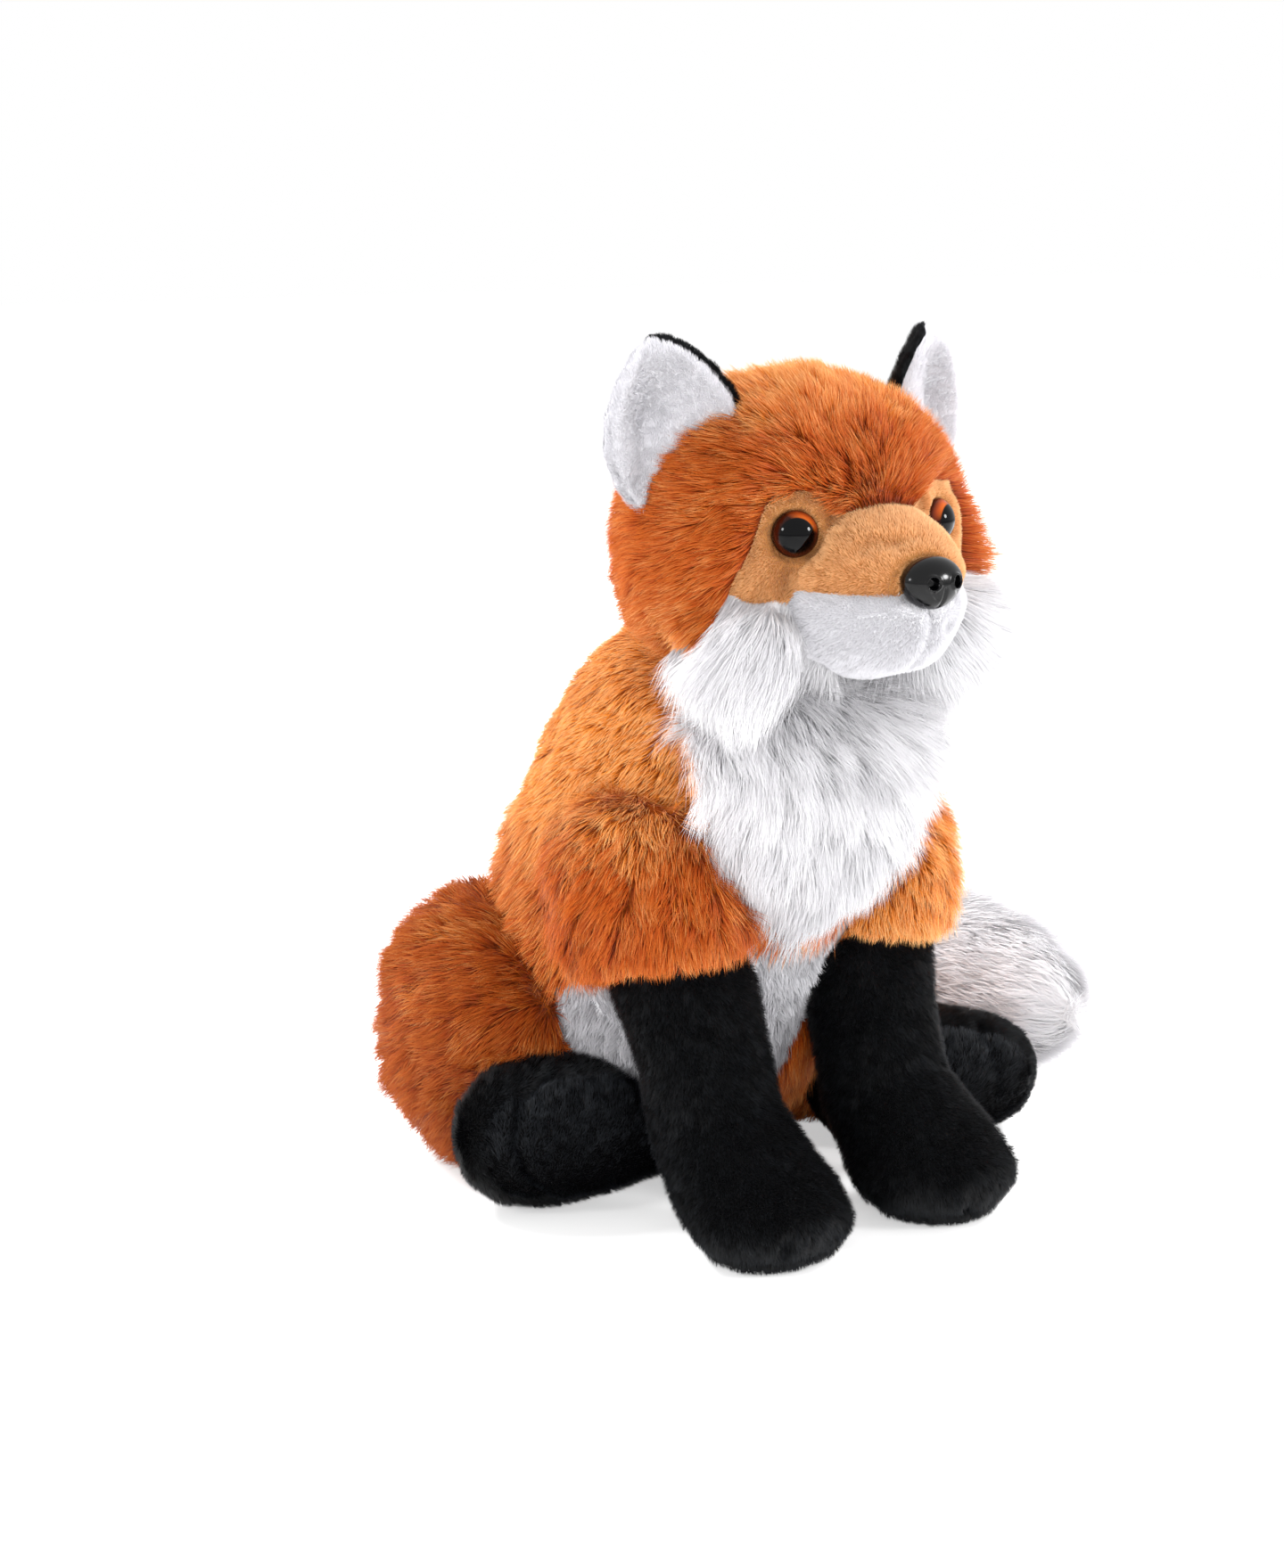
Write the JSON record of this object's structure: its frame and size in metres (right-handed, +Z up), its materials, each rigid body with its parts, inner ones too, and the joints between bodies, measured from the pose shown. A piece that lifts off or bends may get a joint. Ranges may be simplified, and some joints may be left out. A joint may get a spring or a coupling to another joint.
{
  "type": "plush fox",
  "caption": "Seated plush fox with a turning, nodding head, liftable legs, folding ears and a bushy tail curled round one side.",
  "frame": {"origin": "middle of the seat's flat face, on the surface that the fox sits on", "axes": "+Z up, -Y the way the fox looks, +X its own left"},
  "size_m": [0.2949, 0.2811, 0.304],
  "materials": {
    "orange_long_pile": "long glossy pile, brushed",
    "white_long_pile": "long glossy pile, brushed",
    "white_plush": "short dense pile",
    "tan_plush": "short dense pile",
    "black_plush": "short dense pile",
    "ear_black_plush": "short dense pile",
    "ear_white_plush": "short dense pile",
    "filling": "loose polyester fibre",
    "eye_plastic": "clear-fronted, polished",
    "nose_plastic": "semi-gloss moulded",
    "washer_plastic": "moulded"
  },
  "bodies": {
    "torso": {"back_panel": "orange_long_pile", "belly_panel": "white_plush", "chest_bib": "white_long_pile", "torso_filling": "filling"},
    "neck": {"neck_filling": "filling"},
    "head": {"head_skin": "orange_long_pile", "muzzle_top": "tan_plush", "muzzle_chin": "white_plush", "eye_patch_right": "tan_plush", "eye_patch_left": "tan_plush", "cheek_right": "white_long_pile", "cheek_left": "white_long_pile", "head_filling": "filling", "eye_right": "eye_plastic", "eye_left": "eye_plastic", "eye_washer_right": "washer_plastic", "eye_washer_left": "washer_plastic", "nose": "nose_plastic", "nose_washer": "washer_plastic"},
    "tail": {"tail_skin": "orange_long_pile", "tail_tip": "white_long_pile", "tail_filling": "filling"},
    "ear_right": {"ear_back_right": "ear_black_plush", "ear_lining_right": "ear_white_plush"},
    "front_leg_right": {"front_sleeve_right": "orange_long_pile", "front_stocking_right": "black_plush", "front_sole_right": "black_plush", "front_filling_right": "filling"},
    "hind_leg_right": {"thigh_right": "orange_long_pile", "hind_stocking_right": "black_plush", "hind_sole_right": "black_plush", "hind_filling_right": "filling"},
    "ear_left": {"ear_back_left": "ear_black_plush", "ear_lining_left": "ear_white_plush"},
    "front_leg_left": {"front_sleeve_left": "orange_long_pile", "front_stocking_left": "black_plush", "front_sole_left": "black_plush", "front_filling_left": "filling"},
    "hind_leg_left": {"thigh_left": "orange_long_pile", "hind_stocking_left": "black_plush", "hind_sole_left": "black_plush", "hind_filling_left": "filling"}
  },
  "joints": [
    {"name": "head_turn", "type": "hinge", "parent": "torso", "child": "neck", "pos_m": [0, -0.074, 0.187], "axis": [0, 0, 1], "range_deg": [-15, 15], "stiffness_Nm_per_rad": 0.6},
    {"name": "head_nod", "type": "hinge", "parent": "neck", "child": "head", "pos_m": [0, -0.074, 0.187], "axis": [1, 0, 0], "range_deg": [-12, 8], "stiffness_Nm_per_rad": 1.5},
    {"name": "tail_swing", "type": "hinge", "parent": "torso", "child": "tail", "pos_m": [0, 0.04199, 0.0294], "axis": [0, 0, 1], "range_deg": [-5, 14], "stiffness_Nm_per_rad": 0.4},
    {"name": "ear_fold_right", "type": "hinge", "parent": "head", "child": "ear_right", "pos_m": [-0.04705, -0.08366, 0.26818], "axis": [0.9272, -0.3746, 0], "range_deg": [-12, 12], "stiffness_Nm_per_rad": 0.02},
    {"name": "front_leg_lift_right", "type": "hinge", "parent": "torso", "child": "front_leg_right", "pos_m": [0, -0.068, 0.132], "axis": [1, 0, 0], "range_deg": [-30, 0], "stiffness_Nm_per_rad": 0.3},
    {"name": "hind_leg_lift_right", "type": "hinge", "parent": "torso", "child": "hind_leg_right", "pos_m": [0, 0.009, 0.05], "axis": [1, 0, 0], "range_deg": [-12, 0], "stiffness_Nm_per_rad": 0.5},
    {"name": "ear_fold_left", "type": "hinge", "parent": "head", "child": "ear_left", "pos_m": [0.04705, -0.08366, 0.26818], "axis": [0.9272, 0.3746, 0], "range_deg": [-12, 12], "stiffness_Nm_per_rad": 0.02},
    {"name": "front_leg_lift_left", "type": "hinge", "parent": "torso", "child": "front_leg_left", "pos_m": [0, -0.068, 0.132], "axis": [1, 0, 0], "range_deg": [-30, 0], "stiffness_Nm_per_rad": 0.3},
    {"name": "hind_leg_lift_left", "type": "hinge", "parent": "torso", "child": "hind_leg_left", "pos_m": [0, -0.009, 0.05], "axis": [1, 0, 0], "range_deg": [-12, 0], "stiffness_Nm_per_rad": 0.5}
  ]
}
